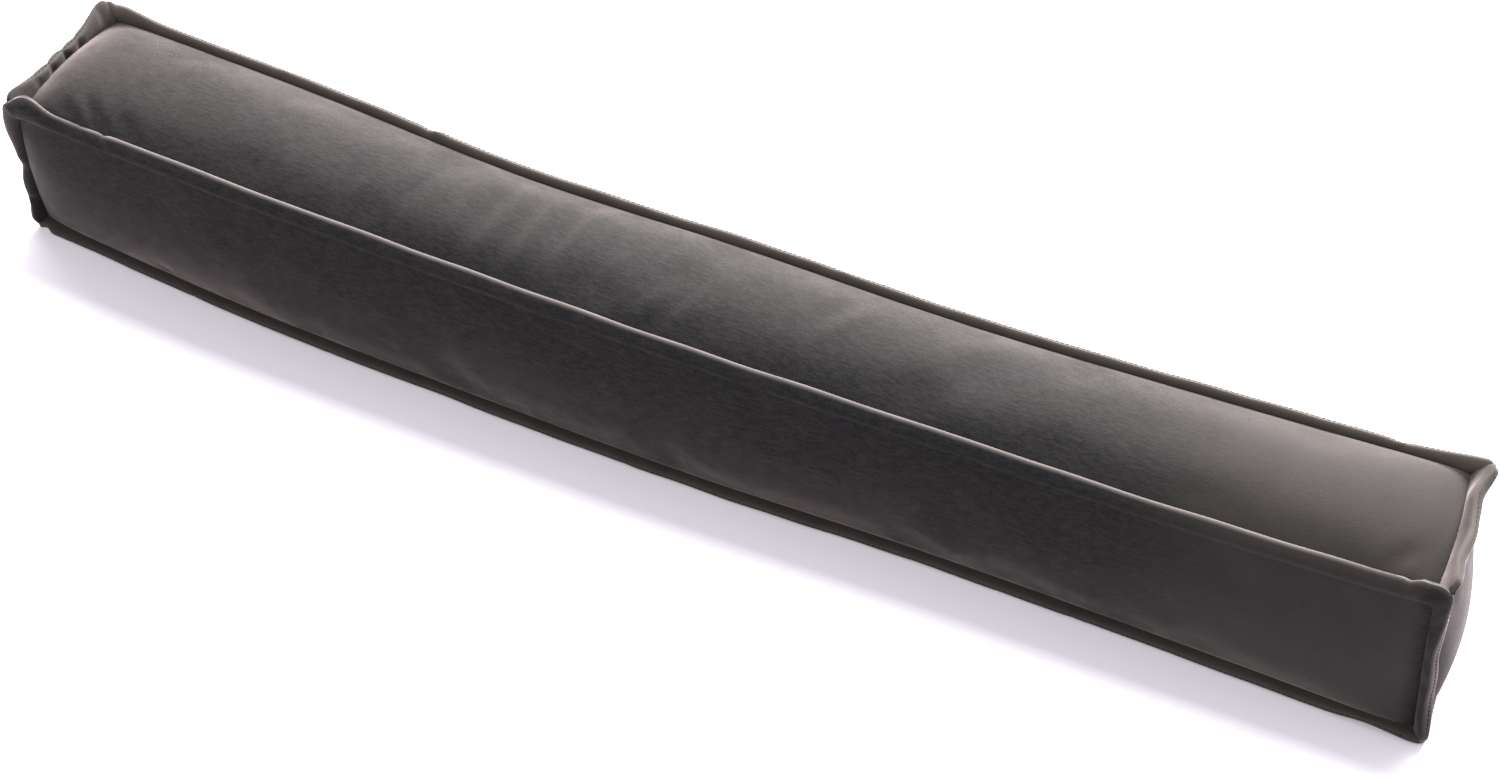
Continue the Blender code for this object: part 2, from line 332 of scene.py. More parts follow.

# %% [markdown]
# ### Folds and puckers
# Filled velvet isn't smooth. Soft folds run slantwise over the top, small puckers sit along the stitching
# where the thread gathers the cloth, and a few dimples show where the filling is thin. A noise texture
# would scatter such marks evenly, so the main ones are listed in a table, each a soft trough or ridge
# with its own length, width and depth. The mesh is subdivided once first, to be fine enough for them.

# %% The fold table
FOLD_COLUMNS = ("panel", "from_along", "from_across", "to_along", "to_across", "width", "height")
FOLDS = (
    ("top", -0.353, -0.60, -0.359, 0.45, 0.0055, 0.0006),
    ("top", -0.330, -0.70, -0.330, 0.30, 0.0070, -0.0009),
    ("top", -0.299, -0.45, -0.294, 0.75, 0.0060, 0.0007),
    ("top", -0.274, -0.70, -0.270, 0.55, 0.0070, -0.0010),
    ("top", -0.248, -0.56, -0.258, 0.61, 0.0055, 0.0007),
    ("top", -0.222, -0.65, -0.218, 0.60, 0.0075, -0.0009),
    ("top", -0.201, -0.25, -0.188, 0.74, 0.0050, 0.0007),
    ("top", -0.160, -0.70, -0.150, 0.20, 0.0070, -0.0008),
    ("top", -0.046, -0.85, -0.024, -0.11, 0.0060, -0.0009),
    ("top", -0.070, -0.80, -0.050, -0.20, 0.0050, 0.0006),
    ("top", 0.143, -0.10, 0.175, 0.60, 0.0070, -0.0009),
    ("top", 0.170, -0.20, 0.200, 0.50, 0.0060, 0.0006),
    ("top", -0.515, -0.60, -0.508, 0.05, 0.0070, -0.0008),
    ("top", -0.430, -0.48, -0.427, 0.25, 0.0070, -0.0008),
    ("top", -0.950, -0.62, -0.915, -0.92, 0.0040, -0.0010),
    ("top", -0.930, -0.55, -0.893, -0.90, 0.0040, 0.0009),
    ("top", -0.910, -0.55, -0.870, -0.92, 0.0040, -0.0011),
    ("top", -0.885, -0.55, -0.845, -0.88, 0.0045, 0.0008),
    ("top", -0.860, -0.60, -0.815, -0.90, 0.0050, -0.0008),
    ("top", 0.930, -0.85, 0.960, -0.45, 0.0055, -0.0009),
    ("front", -0.336, 0.86, -0.325, 0.60, 0.0060, -0.0006),
    ("front", -0.218, 0.88, -0.205, 0.62, 0.0060, -0.0006),
    ("front", -0.095, 0.90, -0.080, 0.55, 0.0060, -0.0007),
    ("front", -0.790, -0.95, -0.788, -0.70, 0.0050, -0.0008),
    ("front", 0.903, 0.92, 0.900, 0.60, 0.0070, -0.0006),
    ("back", -0.550, 0.80, -0.520, -0.20, 0.0080, -0.0009),
    ("back", -0.120, 0.75, -0.140, -0.30, 0.0090, -0.0008),
    ("back", 0.380, 0.85, 0.400, 0.05, 0.0080, -0.0009),
    ("back", 0.760, 0.80, 0.735, -0.10, 0.0090, -0.0007),
    ("left", -0.55, 0.85, -0.30, 0.20, 0.0070, -0.0008),
    ("left", 0.50, 0.85, 0.35, 0.10, 0.0070, -0.0007),
    ("right", -0.50, 0.90, -0.35, 0.35, 0.0060, -0.0006),
)
PANEL_AXES = {"top": (2, 1, 0, 1), "front": (1, -1, 0, 2), "back": (1, 1, 0, 2), "left": (0, -1, 1, 2),
              "right": (0, 1, 1, 2)}
PAINTED_SHADE_REACH = 0.0028     # painted shade darkens the velvet this close to a stitch line
LEFT_END_SHADE, LEFT_END_SHADE_REACH = 0.90, 0.0080   # painted shade at the top panel's left end, and how far it reaches
SEAM_FADE = 0.004          # a fold dies out over this distance from a stitch line


def panel_metres(first, second, places):
    """Places on a panel turned from shares into metres along its two directions."""
    sizes = {0: HALF_LENGTH, 1: 0.046, 2: 0.050}
    return places * (sizes[first], sizes[second])


def fold_heights(places):
    """How far the folds move each point of the body along its normal."""
    heights = np.zeros(len(places))
    for panel, from_along, from_across, to_along, to_across, width, height in FOLDS:
        axis, sign, first, second = PANEL_AXES[panel]
        here = np.flatnonzero(places[:, axis] * sign > 0.999)
        spots = panel_metres(first, second, places[here][:, (first, second)])
        start, end = panel_metres(first, second, np.array([(from_along, from_across), (to_along, to_across)]))
        way = end - start
        along = np.clip((spots - start) @ way / (way @ way), 0, 1)
        aside = np.linalg.norm(spots - (start + along[:, None] * way), axis=1)
        swell = np.sin(np.pi * (0.10 + 0.80 * along))
        inside = panel_metres(first, second, 1 - np.abs(places[here][:, (first, second)])).min(axis=1)
        heights[here] += height * swell * np.exp(-((aside / width) ** 2)) * (1 - np.exp(-inside / SEAM_FADE))
    return heights


# %% Subdivide, fold and finish the body
def subdivided(points, faces, places, creased):
    """The lattice with each quad split in four: its points, its faces and its points' places."""
    rough = new_piece("rough_body", points, faces)
    rough.data.attributes.new("place", "FLOAT_VECTOR", "POINT").data.foreach_set("vector", places.ravel())
    crease = rough.data.attributes.new("crease_edge", "FLOAT", "EDGE")
    ends = np.array([edge.vertices for edge in rough.data.edges])
    crease.data.foreach_set("value", (creased[ends].all(axis=1)).astype(float))
    fine = rough.modifiers.new("finer", "SUBSURF")
    fine.levels = fine.render_levels = 1
    seen = rough.evaluated_get(bpy.context.evaluated_depsgraph_get()).to_mesh()
    finer = points_of(seen)
    spots = np.zeros(len(finer) * 3, np.float32)
    seen.attributes["place"].data.foreach_get("vector", spots)
    quads = [tuple(face.vertices) for face in seen.polygons]
    bpy.data.objects.remove(rough)
    return finer, quads, spots.reshape(-1, 3).astype(float)


fine_points, fine_faces, fine_places = subdivided(body_points, body_faces, body_places, on_sides > 1)
body = new_piece("cushion_body", fine_points + CENTRING, fine_faces)
normals = np.zeros(len(fine_points) * 3, np.float32)
body.data.vertices.foreach_get("normal", normals)
fine_points = fine_points + fold_heights(fine_places)[:, None] * normals.reshape(-1, 3)
body.data.vertices.foreach_set("co", (fine_points + CENTRING).astype(np.float32).ravel())
body.data.update()
# Painted shade: how much of a dull, dark copy of the velvet each point gets. It is high along the stitch creases, at
# the top's left end and over both end panels, with a share over the whole front that grows towards its left end.
inside = (1 - np.abs(fine_places)) * (HALF_LENGTH, 0.046, 0.050)
painted_shade = np.exp(-((np.sort(inside, axis=1)[:, 1] / PAINTED_SHADE_REACH) ** 2))
on_top, on_front = fine_places[:, 2] > 0.999, fine_places[:, 1] < -0.999
near_left = (fine_places[:, 0] < 0) * np.exp(-((inside[:, 0] / LEFT_END_SHADE_REACH) ** 2))
painted_shade = np.maximum(painted_shade, LEFT_END_SHADE * on_top * near_left)
painted_shade = np.maximum(painted_shade, on_front * (0.20 + 0.50 * np.exp(-(((fine_places[:, 0] + 1) / 0.16) ** 2))))
painted_shade = np.maximum(painted_shade, 0.92 * (np.abs(fine_places[:, 0]) > 0.9999))
body.data.attributes.new("painted_shade", "FLOAT", "POINT").data.foreach_set("value", painted_shade.astype(np.float32))
print("body:", len(fine_faces), "quads, folds up to", (np.abs(fold_heights(fine_places)).max() * 1000).round(1), "mm")

# %% [markdown]
# ## The flanges
# Where two panels meet, their margins are sewn together at the rim, turned out and stitched down again at
# the foot, which leaves a puffed strip with a seam along its rim. At a corner three strips meet in a
# pointed ear. Twelve separate strips would leave gaps there, so the strips are one mesh: neighbours share
# the points of the spine that runs from the stitch corner to the tip.

# %% The flange tables
FLANGE_WIDTH = 0.0105      # from a stitch line to the rim
FLANGE_THICKNESS = 0.0050
FLANGE_TUCK = 0.0012       # the foot of a flange sits this deep in the stitch crease
ROOT_SHARE = 0.35          # the strip follows its root direction over this share of its width
EAR_FADE = 0.020           # over this length a strip turns from the corner tip's direction to its own
TIP_THICKENING = 0.18      # share by which a strip is thicker at a corner tip, where six margins are turned in
PUFF_FADE = 0.012          # over this length a strip takes on its own puff, since all are alike at a corner
TIP_REACH = 1.20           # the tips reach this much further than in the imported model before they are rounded
TIP_ROUNDING = 0.24        # share of that reach that the rounding takes back
TIP_ROUND_LENGTH = 0.0085  # over this length of a rim the tip is rounded
CORNER_TIPS = {
    (-1, -1, 1): (-0.0090, 0.0010, 0.0090),
    (-1, 1, 1): (-0.0115, 0.0050, 0.0090),
    (-1, -1, -1): (-0.0025, -0.0090, -0.0010),
    (-1, 1, -1): (-0.0040, 0.0080, 0.0),
    (1, -1, 1): (0.0080, 0.0040, 0.0120),
    (1, 1, 1): (0.0108, 0.0060, 0.0080),
    (1, -1, -1): (0.0075, -0.0080, 0.0),
    (1, 1, -1): (-0.0040, 0.0090, 0.0),
}
FLANGE_COLUMNS = ("name", "start", "end", "root direction", "rim direction", "width", "puff", "painted_bounce", "rim light",
                  "painted_shade")
FLANGES = (
    # width and puff are shares of FLANGE_WIDTH and FLANGE_THICKNESS; then come the share of painted bounce
    # light, the strength of the painted highlight along the rim, and the strength of painted shade at the foot
    ("front_top", (-1, -1, 1), (1, -1, 1), (0.0, 0.05, 1.0), (0.0, 0.60, 0.80), 1.00, 1.00, 0.0, 1.0, 0.7),
    ("back_top", (-1, 1, 1), (1, 1, 1), (0.0, 0.6, 0.8), (0.0, 0.48, 0.88), 0.80, 1.00, 0.7, 0.35, 1.0),
    ("front_bottom", (-1, -1, -1), (1, -1, -1), (0.0, -1.0, 0.0), (0.0, -1.0, 0.06), 1.00, 1.00, 0.45, 0.1, 1.0),
    ("back_bottom", (-1, 1, -1), (1, 1, -1), (0.0, 1.0, 0.0), (0.0, 1.0, 0.0), 1.00, 1.00, 0.3, 0.2, 1.0),
    ("left_top", (-1, -1, 1), (-1, 1, 1), (-0.5, 0.0, 0.8), (-0.12, 0.0, 0.95), 0.85, 1.45, 0.20, 0.3, 1.3),
    ("right_top", (1, -1, 1), (1, 1, 1), (0.95, 0.0, 0.30), (0.66, 0.0, 0.75), 1.08, 1.60, 0.20, 0.5, 1.8),
    ("left_bottom", (-1, -1, -1), (-1, 1, -1), (-1.0, 0.0, 0.0), (-1.0, 0.0, 0.0), 0.80, 1.00, 0.2, 0.2, 1.0),
    ("right_bottom", (1, -1, -1), (1, 1, -1), (1.0, 0.0, 0.0), (1.0, 0.0, 0.0), 0.45, 1.00, 0.2, 0.2, 1.0),
    ("left_front", (-1, -1, -1), (-1, -1, 1), (-1.0, -0.2, 0.0), (-0.95, 0.05, 0.0), 0.85, 1.45, 0.0, 0.3, 1.0),
    ("left_back", (-1, 1, -1), (-1, 1, 1), (-0.7, 0.7, 0.0), (-0.70, 0.70, 0.0), 1.00, 1.20, 0.2, 0.3, 1.0),
    ("right_front", (1, -1, -1), (1, -1, 1), (1.0, -0.15, 0.0), (0.95, -0.25, 0.0), 0.80, 1.50, 0.05, 0.8, 1.4),
    ("right_back", (1, 1, -1), (1, 1, 1), (0.3, 0.9, 0.0), (-0.50, 0.85, 0.0), 1.00, 1.20, 0.2, 0.3, 1.0),
)
# Half of the strip's section, from its foot to its rim: share of the width, share of the half thickness.
# The last row is the rim seam, which the thread draws in between the two margins.
HALF_SECTION = ((0.00, 0.30), (0.10, 0.52), (0.22, 0.74), (0.36, 0.90), (0.52, 0.99), (0.68, 1.00),
                (0.81, 0.93), (0.91, 0.78), (0.975, 0.60), (1.000, 0.47), (0.985, 0.24), (0.940, 0.00))
RIDGE_START = 0.86         # share of the width from which a rim gets its painted highlight
FOOT_SHADE_SHARE = 0.60       # share of the width over which painted shade darkens the crease at the foot
SEAM_SHADE = 1.0         # share of painted shade in the rim seam's groove
TIP_DIMMING, TIP_DIM_REACH = 0.75, 0.040   # the painted highlight along the rims fades towards the corner tips
STEP_ALONG = 0.0018        # between two sections of a flange
# The front top flange is flush with the front panel: its front side covers the stitch crease.
FLUSH_SIDE, FLUSH_ROWS, FLUSH_FULLNESS = ("front_top", (0, -1, 0)), 4, 0.50


# %% Rim kinks placed one by one
KINK_COLUMNS = ("flange", "from_start", "along", "across", "up", "reach")
RIM_KINKS = (
    ("front_top", 0.0030, 0.0, 0.0, -0.0010, 0.0030),
    ("front_top", 0.0135, 0.0, 0.0, 0.0075, 0.0068),
    ("front_top", 0.0450, 0.0, 0.0, -0.0025, 0.0200),
    ("front_top", 0.0605, 0.0, 0.0, -0.0016, 0.0030),
    ("front_top", 0.8695, 0.0, 0.0, -0.0016, 0.0024),
    ("front_top", 0.8740, 0.0, 0.0, 0.0010, 0.0024),
    ("back_top", 0.0070, 0.0, 0.0, -0.0024, 0.0045),
    ("back_top", 0.2230, 0.0, 0.0, -0.0012, 0.0040),
    ("back_top", 0.2310, 0.0, 0.0, 0.0008, 0.0050),
    ("back_top", 0.8180, 0.0, 0.0, -0.0010, 0.0060),
    ("front_bottom", 0.8680, 0.0, 0.0, 0.0030, 0.0160),
    ("left_top", 0.0480, -0.0008, 0.0, 0.0004, 0.0060),
    ("front_bottom", 0.0060, 0.0, 0.0030, 0.0, 0.0030),
    ("right_top", 0.0290, -0.0014, 0.0, 0.0006, 0.0080),
    ("right_top", 0.0500, 0.0014, 0.0, -0.0008, 0.0090),
    ("right_top", 0.0750, -0.0029, 0.0, 0.0012, 0.0080),
    ("left_front", 0.0520, 0.0030, 0.0, 0.0, 0.0160),
    ("left_front", 0.0800, -0.0030, 0.0, 0.0, 0.0120),
    ("right_front", 0.0300, -0.0010, 0.0, 0.0, 0.0150),
    ("right_front", 0.0660, -0.0012, 0.0, 0.0, 0.0120),
)


PINCH_COLUMNS = ("flange", "from_start", "share", "reach")
PINCHES = (
    ("left_top", 0.0250, 0.25, 0.0025),
    ("left_top", 0.0390, 0.50, 0.0022),
    ("left_top", 0.0525, 0.55, 0.0022),
    ("left_top", 0.0640, 0.40, 0.0020),
    ("left_top", 0.0860, 0.30, 0.0025),
    ("right_front", 0.0900, 0.20, 0.0040),
    ("left_front", 0.0200, 0.30, 0.0030),
    ("left_front", 0.0480, 0.45, 0.0070),
    ("back_top", 0.1210, 0.30, 0.0030),
    ("back_top", 0.2270, 0.45, 0.0025),
    ("back_top", 0.4910, 0.30, 0.0050),
    ("back_top", 0.8190, 0.45, 0.0030),
    ("front_bottom", 0.1140, 0.30, 0.0040),
    ("front_bottom", 0.4100, 0.25, 0.0040),
    ("front_bottom", 0.6900, 0.30, 0.0040),
)


def pinched(name, places):
    """The share of its puff that a flange keeps at distances from the strip's start."""
    kept = np.ones(len(places))
    for flange, from_start, share, reach in PINCHES:
        if flange == name:
            kept -= share * np.exp(-(((places - from_start) / reach) ** 2))
    return kept


def kinks(name, places):
    """The rim's listed shifts at distances from the strip's start."""
    shift = np.zeros((len(places), 3))
    for flange, from_start, along, across, up, reach in RIM_KINKS:
        if flange == name:
            bump = np.exp(-(((places - from_start) / reach) ** 2))
            shift += bump[:, None] * (along, across, up)
    return shift


# %% [markdown]
# Sewn velvet never lies quite straight. A slow wander and a finer flutter come from a few sine waves whose
# lengths and phases are drawn once from a seeded generator, so each strip is uneven and every run is alike.

# %% Slow, soft unevenness
def flutter(places, shortest, longest, seed, waves=9):
    """A smooth uneven curve with values of about -1 to 1, from sine waves of mixed lengths."""
    draw = np.random.default_rng(seed)
    lengths = shortest * (longest / shortest) ** draw.random(waves)
    phases = draw.random(waves) * 2 * np.pi
    parts = np.sin(2 * np.pi * places[:, None] / lengths + phases)
    return parts.sum(axis=1) / np.sqrt(waves)


RIM_WANDER = 0.00022       # metres that the rim strays, over 45 to 160 mm
PUFF_CHANGE = 0.04         # share by which the thickness changes, over 16 to 50 mm


# %% One strip's sheet
def strip_sheet(flange, ways):
    """The middle sheet of a strip: points by way along and row of the section, and its half thickness."""
    name, start, end, root, rim, width, puff = flange[:7]
    start_tip, end_tip = TIP_REACH * np.array(CORNER_TIPS[start]), TIP_REACH * np.array(CORNER_TIPS[end])
    start, end = np.array(start, dtype=float), np.array(end, dtype=float)
    corners = box_point(*np.stack([start, end]).T)
    length = np.linalg.norm(corners[1] - corners[0])
    at = start + ways[:, None] * (end - start)
    near_start = np.exp(-((ways * length / EAR_FADE) ** 2))
    near_end = np.exp(-(((1 - ways) * length / EAR_FADE) ** 2))
    own = (1.0 - near_start - near_end)[:, None]
    tip = near_start[:, None] * start_tip + near_end[:, None] * end_tip
    seed = [ord(letter) for letter in name]
    astray = np.cross(unit(end - start), unit(rim))
    wander = RIM_WANDER * flutter(ways * length, 0.045, 0.160, seed)
    reach = width * FLANGE_WIDTH + RIM_WANDER * flutter(ways * length, 0.045, 0.160, seed[::-1])
    own_reach = reach[:, None] * unit(rim) + wander[:, None] * astray
    root_reach = turned(ROOT_SHARE * (own * FLANGE_WIDTH * unit(root) + tip), at[:, 0])
    ends_held = 1.0 - np.exp(-((np.minimum(ways, 1 - ways) * length / 0.003) ** 2))
    rim_reach = own * own_reach + tip + ends_held[:, None] * kinks(name, ways * length)
    for tip_reach, from_tip in ((start_tip, ways * length), (end_tip, (1 - ways) * length)):
        rounding = TIP_ROUNDING * np.clip(1 - from_tip / TIP_ROUND_LENGTH, 0, 1) ** 2
        rim_reach = rim_reach - rounding[:, None] * tip_reach
    rim_reach = turned(rim_reach, at[:, 0])
    foot = box_point(*at.T) - FLANGE_TUCK * unit(root_reach)
    way_out = np.array([row[0] for row in HALF_SECTION])[None, :, None]
    sheet = foot[:, None] + 2 * way_out * (1 - way_out) * root_reach[:, None] + way_out**2 * rim_reach[:, None]
    to_corner = np.minimum(ways, 1 - ways) * length
    puffs = 1.0 + (puff - 1.0) * (1.0 - np.exp(-((to_corner / PUFF_FADE) ** 2)))
    puffs = puffs * (1.0 + TIP_THICKENING * (near_start + near_end))
    puffs = puffs * pinched(name, ways * length) * (1 + PUFF_CHANGE * flutter(ways * length, 0.016, 0.050, seed + [1]))
    half = FLANGE_THICKNESS / 2 * puffs[:, None] * np.array([row[1] for row in HALF_SECTION])
    return sheet, half


# %% Join the strips at their spines
def panels_of(start, end):
    """The outward directions of the two panels that meet along an edge."""
    shared = [axis for axis in range(3) if start[axis] == end[axis]]
    return [tuple(int(start[axis]) if i == axis else 0 for i in range(3)) for axis in shared]


def strip_normals(sheet):
    """Directions square to a strip's sheet."""
    return unit(np.cross(np.gradient(sheet, axis=0), np.gradient(sheet, axis=1)))


def joined_flanges():
    """Points and quads of all strips, the strips, and each point's painted highlight, bounce light and shade."""
    points, index, faces, looks_of = [], {}, [], {}
    spines, last = {}, len(HALF_SECTION) - 1

    def spot(key, point):
        if key not in index:
            index[key] = len(points)
            points.append(point)
        return index[key]

    strips = []
    for flange in FLANGES:
        name, start, end = flange[:3]
        length = np.linalg.norm(np.subtract(*box_point(*np.array([start, end], dtype=float).T)))
        ways = np.linspace(0, 1, int(round(length / STEP_ALONG)) + 1)
        sheet, half = strip_sheet(flange, ways)
        normals = strip_normals(sheet)
        sides = []
        for own, other in zip(panels_of(start, end), reversed(panels_of(start, end))):
            looks = np.sign(np.median(normals @ np.subtract(own, other)))
            sides.append((own, looks * normals))
            for corner, i in ((start, 0), (end, -1)):
                spines.setdefault((corner, own), []).append(looks * normals[i])
        strips.append((flange, sheet, half, sides))

    for flange, sheet, half, sides in strips:
        name, start, end = flange[:3]
        count = len(sheet)
        grids = []
        for own, normals in sides:
            grid = np.zeros((count, last + 1), dtype=int)
            fullness = half
            if (name, own) == FLUSH_SIDE:
                covered = np.arange(last + 1) < FLUSH_ROWS
                fullness = np.where(covered, np.maximum(half, FLUSH_FULLNESS * half.max(axis=1)[:, None]), half)
            for i in range(count):
                corner = start if i == 0 else end if i == count - 1 else None
                for k in range(last + 1):
                    if k == last:
                        key = ("tip", corner) if corner else ("rim", name, i)
                        grid[i, k] = spot(key, sheet[i, k])
                    elif corner:
                        both = spines[(corner, own)]
                        middle = unit(both[0][k] + both[1][k])
                        stretch = 1 / max(0.6, float(middle @ both[0][k]))
                        point = sheet[i, k] + half[i, k] * stretch * middle
                        grid[i, k] = spot(("spine", corner, own, k), point)
                    else:
                        grid[i, k] = spot((own, name, i, k), sheet[i, k] + fullness[i, k] * normals[i, k])
            grids.append(grid)
        for grid, flip in zip(grids, (False, True)):
            for i in range(count - 1):
                for k in range(last):
                    quad = (grid[i, k], grid[i + 1, k], grid[i + 1, k + 1], grid[i, k + 1])
                    faces.append(quad[::-1] if flip else quad)
        for i in range(count - 1):
            faces.append((grids[1][i, 0], grids[1][i + 1, 0], grids[0][i + 1, 0], grids[0][i, 0]))
        for grid in grids:
            for k in range(last + 1):
                for i in range(count):
                    # Painted on each point: a highlight along the rim that fades towards the tips, the strip's share
                    # of bounce light, and shade at the foot and in the rim seam.
                    ridge = np.clip((HALF_SECTION[k][0] - RIDGE_START) / (1 - RIDGE_START), 0, 1)
                    to_tip = min(i, count - 1 - i) * STEP_ALONG
                    light = flange[8] * ridge * (k < last) * (1 - TIP_DIMMING * np.exp(-((to_tip / TIP_DIM_REACH) ** 2)))
                    painted_shade = flange[9] * np.clip(1 - HALF_SECTION[k][0] / FOOT_SHADE_SHARE, 0, 1) + SEAM_SHADE * (k > last - 2)
                    looks_of[grid[i, k]] = (light, flange[7], min(1.0, painted_shade))
    for corner in CORNER_TIPS:
        owners = [own for at, own in spines if at == corner]
        faces.append(tuple(index[("spine", corner, own, 0)] for own in owners))
    return np.array(points), faces, strips, np.array([looks_of[i] for i in range(len(points))])


flange_points, flange_faces, strips, flange_looks = joined_flanges()
flange_points[:, 2] = np.maximum(flange_points[:, 2], 0.0)
flanges = new_piece("sewn_flanges", flange_points + CENTRING, flange_faces)
# The painted highlight, painted bounce light and painted shade go to the velvet as point attributes.
for name, values in zip(("rim", "painted_bounce", "painted_shade"), flange_looks.T):
    flanges.data.attributes.new(name, "FLOAT", "POINT").data.foreach_set("value", values.astype(np.float32))


SHARP_ANGLE = 55           # degrees from which an edge is shaded sharp


def turn_outwards(piece, stitched=None):
    """Makes every face of a closed mesh look out, and keeps the edges between stitched points sharp."""
    import bmesh
    mesh = bmesh.new()
    mesh.from_mesh(piece.data)
    bmesh.ops.recalc_face_normals(mesh, faces=mesh.faces)
    loose = sum(1 for edge in mesh.edges if len(edge.link_faces) != 2)
    mesh.to_mesh(piece.data)
    mesh.free()
    piece.data.set_sharp_from_angle(angle=np.radians(SHARP_ANGLE))
    if stitched is not None:
        ends = np.array([edge.vertices for edge in piece.data.edges])
        sharp = piece.data.attributes["sharp_edge"]
        marks = np.zeros(len(ends), dtype=bool)
        sharp.data.foreach_get("value", marks)
        sharp.data.foreach_set("value", marks | stitched[ends].all(axis=1))
    print(piece.name, "faces:", len(piece.data.polygons), "open or shared edges:", loose)


turn_outwards(body, (np.abs(fine_places) > 0.9999).sum(axis=1) > 1)
turn_outwards(flanges)

# %% [markdown]
# ## Velvet
# Velvet is dark where the pile is looked straight into and glows where it is seen from the side. Painted light
# would stay in place when the viewer moves, so most of the glow comes from the shader's sheen, with a nearly
# black cloth under it. Two such cloths are mixed, one with its pile brushed up and one brushed down, and soft
# blotches decide between them. A lighter copy is painted over the right end of the top as painted light, and
# a dull copy as painted shade in the creases, over the end panels and on the front. The flanges also get a
# painted highlight along their rims and painted bounce light.

# %% Shader maths as plain expressions
class Wire:
    """A socket of a material's nodes. Sums and products of wires make the nodes that work them out."""

    def __init__(self, tree, socket=None):
        self.tree, self.socket = tree, socket

    def make(self, kind, settings=None, links=None, output=0):
        """One output of a new node. Its settings come first, since they decide which sockets it has."""
        node = self.tree.nodes.new("ShaderNode" + kind)
        for name, value in (settings or {}).items():
            setattr(node, name, value)
        for name, value in (links or {}).items():
            if isinstance(value, Wire):
                self.tree.links.new(value.socket, node.inputs[name])
            else:
                node.inputs[name].default_value = value
        return Wire(self.tree, node.outputs[output])

    def maths(self, operation, *values):
        return self.make("Math", {"operation": operation}, dict(enumerate(values)))

    def __add__(self, other):
        return self.maths("ADD", self, other)

    def __sub__(self, other):
        return self.maths("SUBTRACT", self, other)

    def __rsub__(self, other):
        return self.maths("SUBTRACT", other, self)

    def __mul__(self, other):
        return self.maths("MULTIPLY", self, other)

    def __truediv__(self, other):
        return self.maths("DIVIDE", self, other)

    def __pow__(self, other):
        return self.maths("POWER", self, other)

    __radd__, __rmul__ = __add__, __mul__

    def held(self):
        """The value kept between 0 and 1."""
        return self.make("Clamp", None, {"Value": self})

    def step(self, low, high):
        """A soft step: 0 below low, 1 above high."""
        links = {"Value": self, "From Min": low, "From Max": high}
        return self.make("MapRange", {"interpolation_type": "SMOOTHSTEP"}, links)

    def colour(self, dark, light):
        """A colour between two others, by this share."""
        links = {0: self, 6: (*dark, 1.0), 7: (*light, 1.0)}
        return self.make("Mix", {"data_type": "RGBA"}, links, 2)

    def mixed(self, under, over):
        """A colour that goes from a wire's to a fixed one by this share."""
        return self.make("Mix", {"data_type": "RGBA"}, {0: self, 6: under, 7: (*over, 1.0)}, 2)

    def grain(self, size, detail=2.0, rough=0.5, stretch=None):
        """Noise of about 0 to 1 with features of a size in metres."""
        spot = self.make("VectorMath", {"operation": "MULTIPLY"}, {0: self, 1: stretch or (1.0, 1.0, 1.0)})
        return self.make("TexNoise", None, {"Vector": spot, "Scale": 1 / size, "Detail": detail, "Roughness": rough})


# %% The velvet
SHEEN_ROUGHNESS = 0.35
BRUSHED_UP = (0.405, 0.330, 0.318)     # sheen tints
BRUSHED_DOWN = (0.250, 0.204, 0.197)
RIGHT_END_LIGHT_TINT = (0.43, 0.365, 0.350)          # sheen tint of a lighter copy painted near the right end, as painted light
RIGHT_END_LIGHT_FROM, RIGHT_END_LIGHT_TO = (0.26, 0.39), (0.432, 0.442)  # the painted light comes and goes at these places along the bolster
# the base colour of that painted light
RIGHT_END_LIGHT_COLOUR = (0.0145, 0.0128, 0.0122)
PAINTED_SHADE_TINT = (0.055, 0.053, 0.057)         # sheen tint of a dull copy of the velvet, as painted shade
PILE_COLOUR = (0.0034, 0.0034, 0.0037)
PILE_LIGHT = (0.0105, 0.0102, 0.0105)
PAINTED_BOUNCE_COLOUR = (0.050, 0.042, 0.037)     # painted bounce light that lightens some flanges
RIM_HIGHLIGHT_COLOUR = (0.105, 0.094, 0.090)     # painted highlight along the rims


